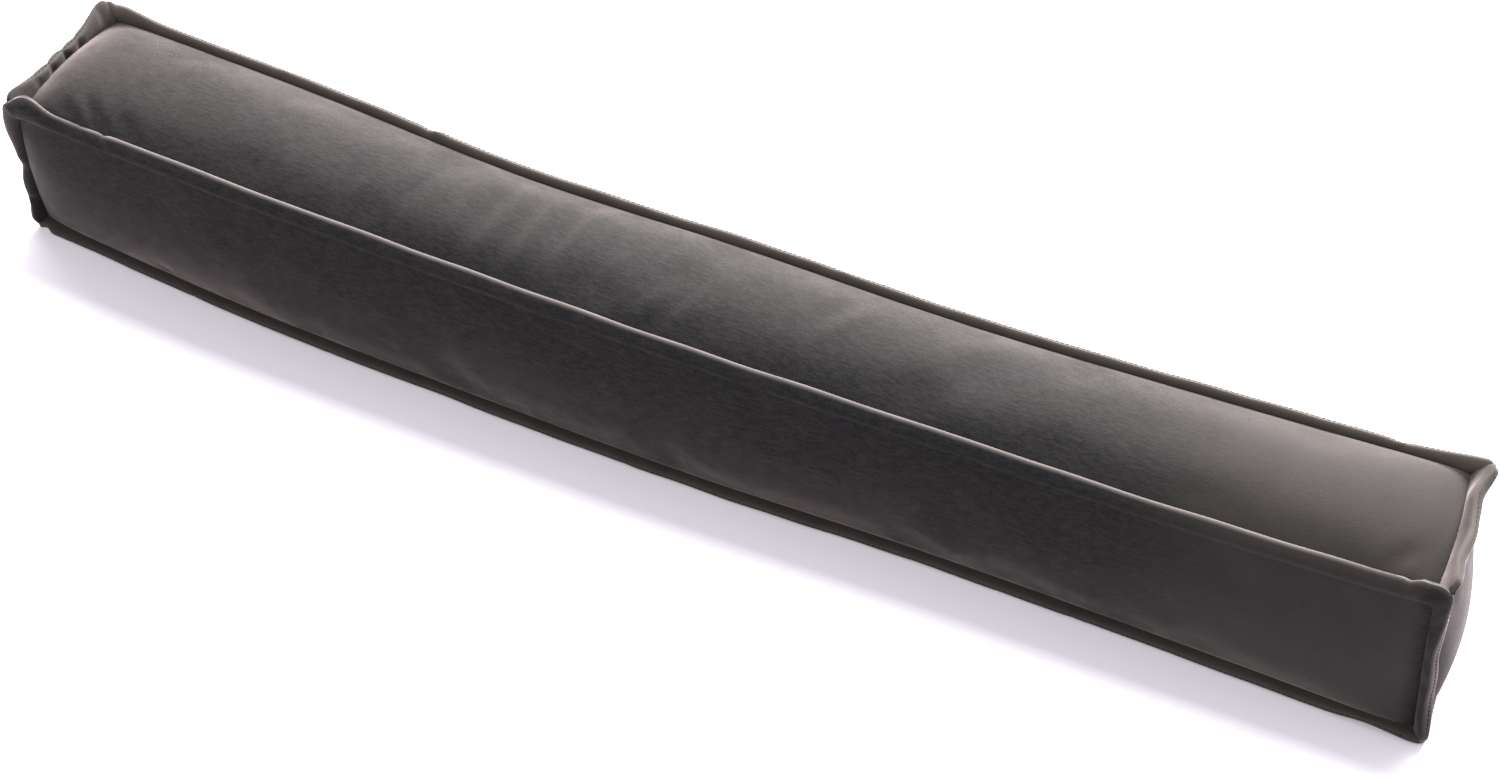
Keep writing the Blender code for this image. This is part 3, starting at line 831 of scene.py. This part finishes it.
def velvet_material(name, on_flanges):
    """Velvet in soft blotches, with painted light, painted shade and, on the flanges, painted rim highlights."""
    material = bpy.data.materials.new(name)
    material.use_nodes = True
    tree = material.node_tree
    tree.nodes.clear()
    bench = Wire(tree)
    spot = bench.make("TexCoord", None, None, "Object")
    blotch = (0.6 * spot.grain(0.045, 2.0, 0.5, (0.6, 1.0, 1.0)) + 0.4 * spot.grain(0.012, 2.0)).step(0.42, 0.60)
    weave = spot.grain(0.0016, 2.0, 0.6, (0.25, 1.0, 1.0))
    speckle = spot.grain(0.0010, 3.0, 0.7)
    colour = (0.5 * weave + 0.5 * speckle).step(0.35, 0.65).colour(PILE_COLOUR, PILE_LIGHT)
    # Painted light over the right end of the top: a lighter copy of the velvet in soft patches, fading out before the
    # end panel.
    along = spot.make("SeparateXYZ", None, {"Vector": spot})
    right_end_light = (along + 0.05 * spot.grain(0.050, 2.0)).step(*RIGHT_END_LIGHT_FROM) * (0.6 + 0.8 * spot.grain(0.025, 2.0))
    right_end_light = right_end_light.held() * (1 - along.step(*RIGHT_END_LIGHT_TO))
    colour = right_end_light.mixed(colour, RIGHT_END_LIGHT_COLOUR)
    if on_flanges:
        painted_bounce = bench.make("Attribute", {"attribute_name": "painted_bounce"}, None, "Fac")
        rim = bench.make("Attribute", {"attribute_name": "rim"}, None, "Fac")
        # Painted bounce light: a lighter, warmer colour in patches, by each strip's share.
        patches = painted_bounce * (0.55 + 0.9 * spot.grain(0.020, 3.0)).held()
        colour = patches.mixed(colour, PAINTED_BOUNCE_COLOUR)
        # Painted highlight along the rims.
        colour = rim.mixed(colour, RIM_HIGHLIGHT_COLOUR)
    pile = 0.6 * speckle + 0.4 * spot.grain(0.0040, 2.0)
    bump = bench.make("Bump", None, {"Strength": 0.5, "Distance": 0.0004, "Height": pile})
    cloths = []
    # The third cloth is the lighter copy for painted light, the fourth the dull copy for painted shade.
    for tint in (BRUSHED_DOWN, BRUSHED_UP, RIGHT_END_LIGHT_TINT, PAINTED_SHADE_TINT):
        links = {"Base Color": colour, "Roughness": 0.9, "Sheen Weight": 1.0, "Sheen Roughness": SHEEN_ROUGHNESS,
                 "Sheen Tint": (*tint, 1.0), "Specular IOR Level": 0.1, "Normal": bump}
        cloths.append(bench.make("BsdfPrincipled", None, links))
    mixed = bench.make("MixShader", None, {0: blotch, 1: cloths[0], 2: cloths[1]})
    mixed = bench.make("MixShader", None, {0: right_end_light, 1: mixed, 2: cloths[2]})
    # Painted shade: the dull copy is mixed in where the points ask for it.
    painted_shade = bench.make("Attribute", {"attribute_name": "painted_shade"}, None, "Fac")
    mixed = bench.make("MixShader", None, {0: 0.85 * painted_shade, 1: mixed, 2: cloths[3]})
    output = tree.nodes.new("ShaderNodeOutputMaterial")
    tree.links.new(mixed.socket, output.inputs["Surface"])
    return material


velvet = velvet_material("velvet", False)
body.data.materials.append(velvet)
flange_velvet = velvet_material("flange_velvet", True)
flanges.data.materials.append(flange_velvet)

# %% [markdown]
# ## The seam thread
# A dark thread holds the two margins together in the groove along each rim. A painted dashed line would be
# flat there, so every stitch is a short round-ended tube. All the stitches are one mesh, since a thousand
# separate objects would be slow to handle.

# %% Round-ended stitches along the rims
STITCH_PITCH = 0.0031
STITCH_LENGTH = 0.0022
THREAD_RADIUS = 0.00045
RING = 6                   # points round a stitch


def stitch_mesh(starts, ends):
    """Points and faces of round-ended stitches between pairs of points."""
    way = ends - starts
    along = unit(way)
    aside = unit(np.cross(along, (0.3, 0.5, 0.8)))
    above = np.cross(along, aside)
    angles = np.linspace(0, 2 * np.pi, RING, endpoint=False)
    points, faces = [], []
    for share, width in ((0.0, 0.45), (0.12, 1.0), (0.88, 1.0), (1.0, 0.45)):
        middle = starts + share * way
        for angle in angles:
            points.append(middle + THREAD_RADIUS * width * (np.cos(angle) * aside + np.sin(angle) * above))
    points = np.stack(points, axis=1)
    for first in range(0, len(starts) * 4 * RING, 4 * RING):
        for ring in range(3):
            for k in range(RING):
                a, b = first + ring * RING + k, first + ring * RING + (k + 1) % RING
                faces.append((a, b, b + RING, a + RING))
        faces.append(tuple(range(first + RING - 1, first - 1, -1)))
        faces.append(tuple(range(first + 3 * RING, first + 4 * RING)))
    return points.reshape(-1, 3), faces


STITCH_LIFT = 0.45         # share of the rim groove's depth at which the thread lies
TIP_CLEARANCE = 0.0080     # no stitch starts this close to a corner tip
stitch_starts, stitch_ends = [], []
for flange, sheet, half, sides in strips:
    seam = sheet[:, -1] + STITCH_LIFT * (sheet[:, -3] - sheet[:, -1])
    seam[:, 2] = np.maximum(seam[:, 2], THREAD_RADIUS)
    walked = np.r_[0, np.cumsum(np.linalg.norm(np.diff(seam, axis=0), axis=1))]
    places = np.arange(TIP_CLEARANCE, walked[-1] - TIP_CLEARANCE - STITCH_LENGTH, STITCH_PITCH)
    stitch_starts.append(rows(*(np.interp(places, walked, seam[:, axis]) for axis in range(3))))
    stitch_ends.append(rows(*(np.interp(places + STITCH_LENGTH, walked, seam[:, axis]) for axis in range(3))))
thread_points, thread_faces = stitch_mesh(np.concatenate(stitch_starts), np.concatenate(stitch_ends))
thread = new_piece("seam_thread", thread_points + CENTRING, thread_faces)
print("thread:", len(thread_points) // (4 * RING), "stitches,", len(thread_faces), "faces")
thread_material = bpy.data.materials.new("thread")
thread_material.use_nodes = True
shader = thread_material.node_tree.nodes["Principled BSDF"]
shader.inputs["Base Color"].default_value = (0.0020, 0.0019, 0.0019, 1)
shader.inputs["Roughness"].default_value = 1.0
shader.inputs["Specular IOR Level"].default_value = 0.05
thread.data.materials.append(thread_material)

# %% [markdown]
# ## The studio
# The bolster stands on a plain pale floor in soft light. Velvet shows its shape only where light grazes it,
# so the strongest light stands low behind the bolster, with a higher one over it, and the front gets little.
# Many small lamps could do the same, but large panels give the broad, soft edges that such a cloth needs.

# %% Floor and surroundings
floor = new_piece("studio_floor", [(-6, -6, 0), (6, -6, 0), (6, 6, 0), (-6, 6, 0)], [(0, 1, 2, 3)])
floor_material = bpy.data.materials.new("floor")
floor_material.use_nodes = True
shader = floor_material.node_tree.nodes["Principled BSDF"]
shader.inputs["Base Color"].default_value = (0.72, 0.685, 0.74, 1)
shader.inputs["Roughness"].default_value = 0.8
floor.data.materials.append(floor_material)

WORLD_STRENGTH = 0.90
world = bpy.data.worlds.new("studio")
bpy.context.scene.world = world
world.use_nodes = True
world.node_tree.nodes["Background"].inputs["Color"].default_value = (1, 1, 1, 1)
world.node_tree.nodes["Background"].inputs["Strength"].default_value = WORLD_STRENGTH

# %% Light panels, each looking at the middle of the bolster
LIGHT_SIZE, LIGHT_DISTANCE = (1.8, 0.8), 2.2
LIGHTS = (
    # name, degrees from the back towards the right, degrees above the floor, watts, colour
    ("back_low", -5.0, 25.0, 470.0, (1.0, 0.965, 0.95)),
    ("back_left", -45.0, 30.0, 40.0, (1.0, 0.965, 0.95)),
    ("back_high", 0.0, 66.0, 125.0, (1.0, 0.96, 0.965)),
    ("back_right", 62.0, 28.0, 6.0, (1.0, 0.97, 0.95)),
    ("front_fill", 180.0, 42.0, 28.0, (0.94, 0.96, 1.0)),
)
for name, turn, rise, watts, colour in LIGHTS:
    turn, rise = np.radians(turn), np.radians(rise)
    light = bpy.data.lights.new(name, "AREA")
    light.shape = "RECTANGLE"
    light.size, light.size_y = LIGHT_SIZE
    light.energy = watts
    light.color = colour
    lamp = bpy.data.objects.new(name, light)
    place = LIGHT_DISTANCE * np.array((np.sin(turn) * np.cos(rise), np.cos(turn) * np.cos(rise), np.sin(rise)))
    lamp.location = place + (0, 0, 0.05)
    lamp.rotation_euler = Vector((-place).tolist()).to_track_quat("-Z", "Y").to_euler()
    bpy.context.scene.collection.objects.link(lamp)

# %% [markdown]
# ## The camera
# The viewing angle, the distance and the lens come from fitting the rims and the corner tips of the model
# to where they are seen on the real object. The camera could be aimed by eye, but a bolster that fills the
# whole width of the picture shows every degree of error at its ends.

# %% Camera
AZIMUTH, ELEVATION, ROLL = np.radians((29.875, 48.397, -3.09))
DISTANCE = 2.4153
TARGET = np.array((0.0035, 0.0227, 0.0))
FOCAL_PIXELS, PHOTO_WIDTH, SENSOR = 4117.1, 1500, 36.0
back = np.array((np.sin(AZIMUTH) * np.cos(ELEVATION), -np.cos(AZIMUTH) * np.cos(ELEVATION), np.sin(ELEVATION)))
right = np.array((np.cos(AZIMUTH), np.sin(AZIMUTH), 0.0))
above = np.cross(back, right)
rolled_right = np.cos(ROLL) * right + np.sin(ROLL) * above
rolled_above = np.cos(ROLL) * above - np.sin(ROLL) * right
lens = bpy.data.cameras.new("camera")
lens.sensor_width = SENSOR
lens.lens = FOCAL_PIXELS / PHOTO_WIDTH * SENSOR
camera = bpy.data.objects.new("camera", lens)
turn = Matrix(np.stack([rolled_right, rolled_above, back], axis=1).tolist()).to_4x4()
camera.matrix_world = Matrix.Translation((TARGET + DISTANCE * back).tolist()) @ turn
bpy.context.scene.collection.objects.link(camera)
bpy.context.scene.camera = camera
bpy.context.scene.view_settings.view_transform = "Standard"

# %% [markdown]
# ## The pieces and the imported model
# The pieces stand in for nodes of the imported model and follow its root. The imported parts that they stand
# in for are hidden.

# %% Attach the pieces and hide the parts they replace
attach(body, "root")
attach(flanges, "root")
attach(thread, "root")
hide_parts("filled_body")
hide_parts(*["flange_" + flange[0] for flange in FLANGES])
